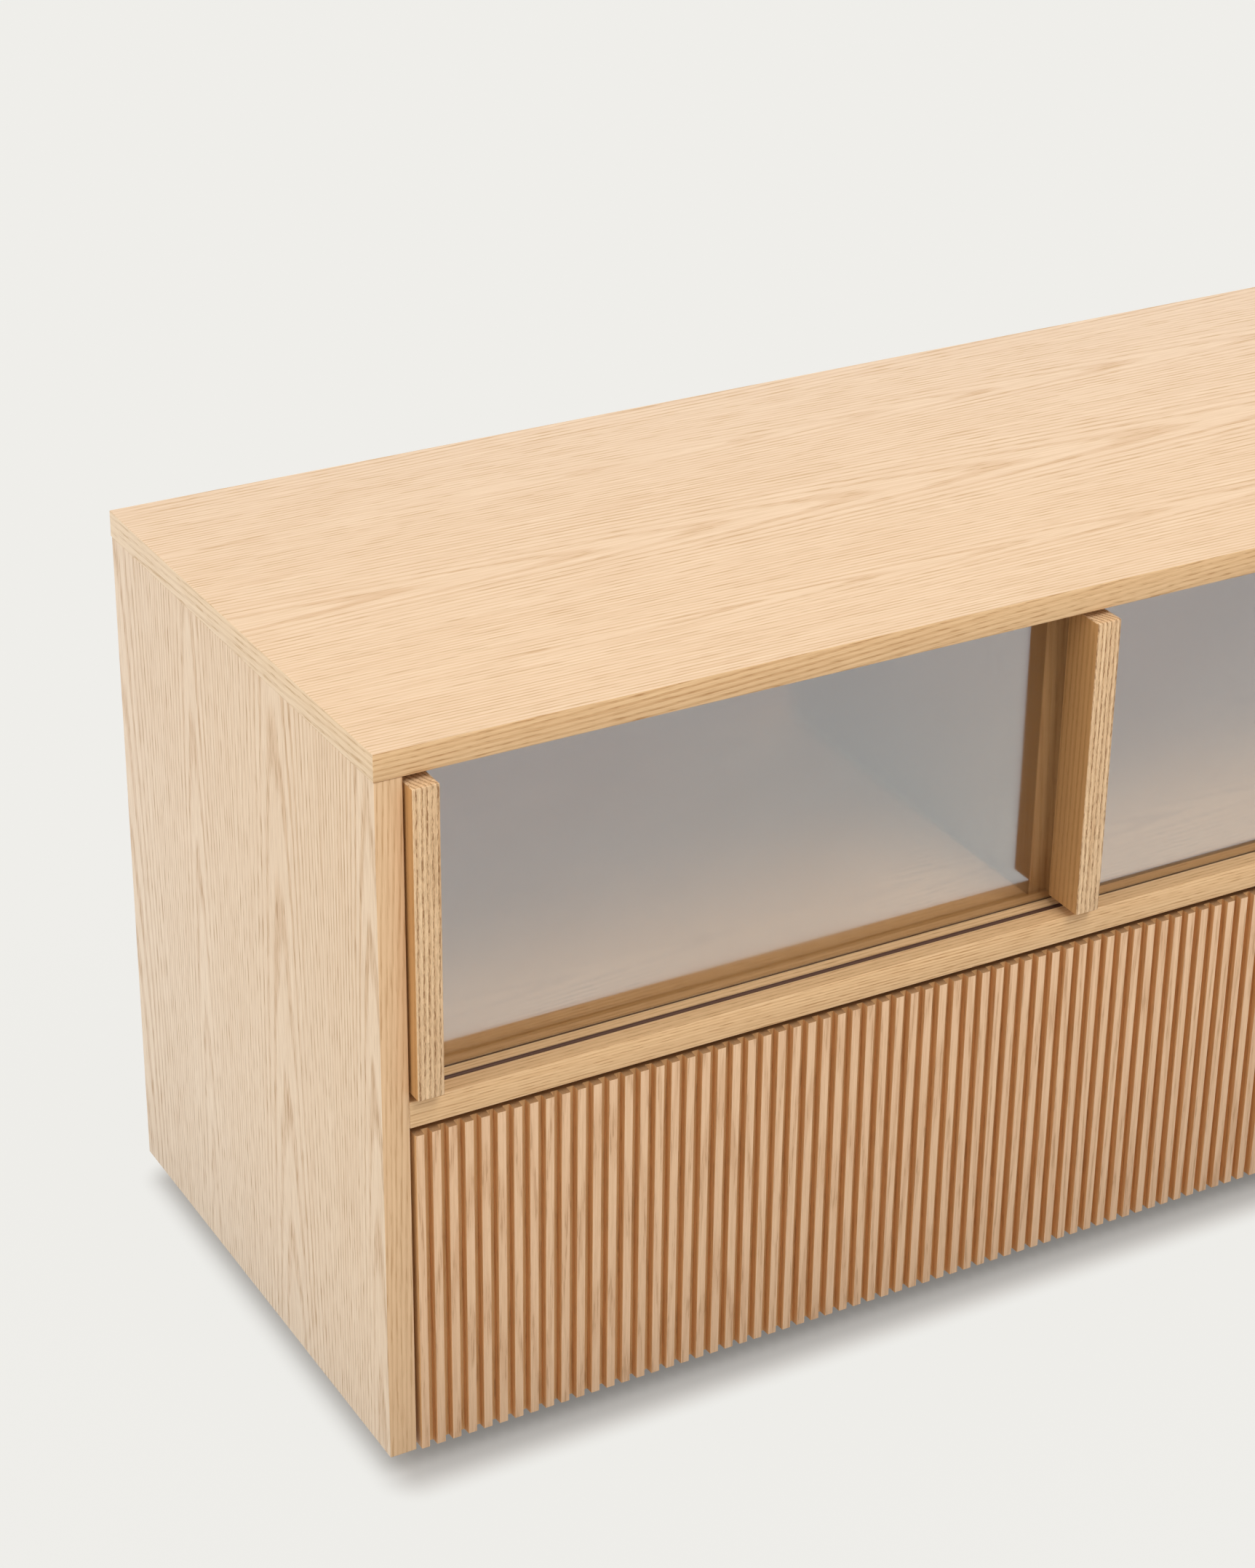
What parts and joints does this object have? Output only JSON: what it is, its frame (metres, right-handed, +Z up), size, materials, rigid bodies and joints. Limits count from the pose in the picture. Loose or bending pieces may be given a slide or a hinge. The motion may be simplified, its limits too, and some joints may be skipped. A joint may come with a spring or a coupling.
{
  "type": "media cabinet",
  "caption": "Low oak-veneered media cabinet with sliding tinted glass doors on wooden post handles above fluted pull-out drawers.",
  "frame": {"origin": "on the floor under the middle of the bounding box of the closed cabinet, post handles included", "axes": "+Z up, front faces -Y, +X to the right of someone who stands in front"},
  "size_m": [2, 0.4084, 0.522],
  "materials": {
    "oak_veneer": "matt lacquered oak veneer on board, edges banded",
    "oak_fluted": "matt lacquered oak, straight vertical flutes",
    "oak_post": "open-pored solid oak, matt",
    "tinted_glass": "grey-bronze tinted float glass",
    "track_plastic": "brown extruded plastic",
    "drawer_board": "pale foil-faced board",
    "runner_steel": "zinc-plated rolled steel",
    "foot_plastic": "black moulded plastic",
    "dowel_beech": "plain beech rod"
  },
  "bodies": {
    "case": {"top_panel": "oak_veneer", "left_side_panel": "oak_veneer", "right_side_panel": "oak_veneer", "middle_shelf": "oak_veneer", "bottom_panel": "oak_veneer", "upper_divider": "oak_veneer", "lower_divider": "oak_veneer", "left_partition": "oak_veneer", "right_partition": "oak_veneer", "left_back_panel": "oak_veneer", "right_back_panel": "oak_veneer", "case_dowels": "dowel_beech", "front_left_foot": "foot_plastic", "front_middle_foot": "foot_plastic", "front_right_foot": "foot_plastic", "rear_left_foot": "foot_plastic", "rear_middle_foot": "foot_plastic", "rear_right_foot": "foot_plastic", "left_lower_front_track": "track_plastic", "left_lower_rear_track": "track_plastic", "left_upper_front_track": "track_plastic", "left_upper_rear_track": "track_plastic", "right_lower_front_track": "track_plastic", "right_lower_rear_track": "track_plastic", "right_upper_front_track": "track_plastic", "right_upper_rear_track": "track_plastic", "left_drawer_left_outer_rail": "runner_steel", "left_drawer_right_outer_rail": "runner_steel", "right_drawer_left_outer_rail": "runner_steel", "right_drawer_right_outer_rail": "runner_steel"},
    "left_outer_door": {"left_outer_pane": "tinted_glass", "left_outer_handle": "oak_post"},
    "left_inner_door": {"left_inner_pane": "tinted_glass", "left_inner_handle": "oak_post"},
    "right_inner_door": {"right_inner_pane": "tinted_glass", "right_inner_handle": "oak_post"},
    "right_outer_door": {"right_outer_pane": "tinted_glass", "right_outer_handle": "oak_post"},
    "left_drawer": {"left_drawer_front": "oak_fluted", "left_drawer_left_side": "drawer_board", "left_drawer_right_side": "drawer_board", "left_drawer_back": "drawer_board", "left_drawer_base": "drawer_board", "left_drawer_left_inner_rail": "runner_steel", "left_drawer_right_inner_rail": "runner_steel"},
    "left_drawer_middle_rails": {"left_drawer_left_middle_rail": "runner_steel", "left_drawer_right_middle_rail": "runner_steel"},
    "right_drawer": {"right_drawer_front": "oak_fluted", "right_drawer_left_side": "drawer_board", "right_drawer_right_side": "drawer_board", "right_drawer_back": "drawer_board", "right_drawer_base": "drawer_board", "right_drawer_left_inner_rail": "runner_steel", "right_drawer_right_inner_rail": "runner_steel"},
    "right_drawer_middle_rails": {"right_drawer_left_middle_rail": "runner_steel", "right_drawer_right_middle_rail": "runner_steel"}
  },
  "joints": [
    {"name": "left_outer_door_slide", "type": "slide", "parent": "case", "child": "left_outer_door", "axis": [1, 0, 0], "range_m": [0, 0.4613]},
    {"name": "left_inner_door_slide", "type": "slide", "parent": "case", "child": "left_inner_door", "axis": [1, 0, 0], "range_m": [-0.4613, 0]},
    {"name": "right_inner_door_slide", "type": "slide", "parent": "case", "child": "right_inner_door", "axis": [1, 0, 0], "range_m": [0, 0.4613]},
    {"name": "right_outer_door_slide", "type": "slide", "parent": "case", "child": "right_outer_door", "axis": [1, 0, 0], "range_m": [-0.4613, 0]},
    {"name": "left_drawer_slide", "type": "slide", "parent": "case", "child": "left_drawer", "axis": [0, -1, 0], "range_m": [0, 0.32]},
    {"name": "left_middle_rails_slide", "type": "slide", "parent": "case", "child": "left_drawer_middle_rails", "axis": [0, -1, 0], "range_m": [0, 0.16]},
    {"name": "right_drawer_slide", "type": "slide", "parent": "case", "child": "right_drawer", "axis": [0, -1, 0], "range_m": [0, 0.32]},
    {"name": "right_middle_rails_slide", "type": "slide", "parent": "case", "child": "right_drawer_middle_rails", "axis": [0, -1, 0], "range_m": [0, 0.16]}
  ],
  "couplings": [
    {"joint": "left_middle_rails_slide", "follows": "left_drawer_slide", "ratio": 0.5},
    {"joint": "right_middle_rails_slide", "follows": "right_drawer_slide", "ratio": 0.5}
  ]
}
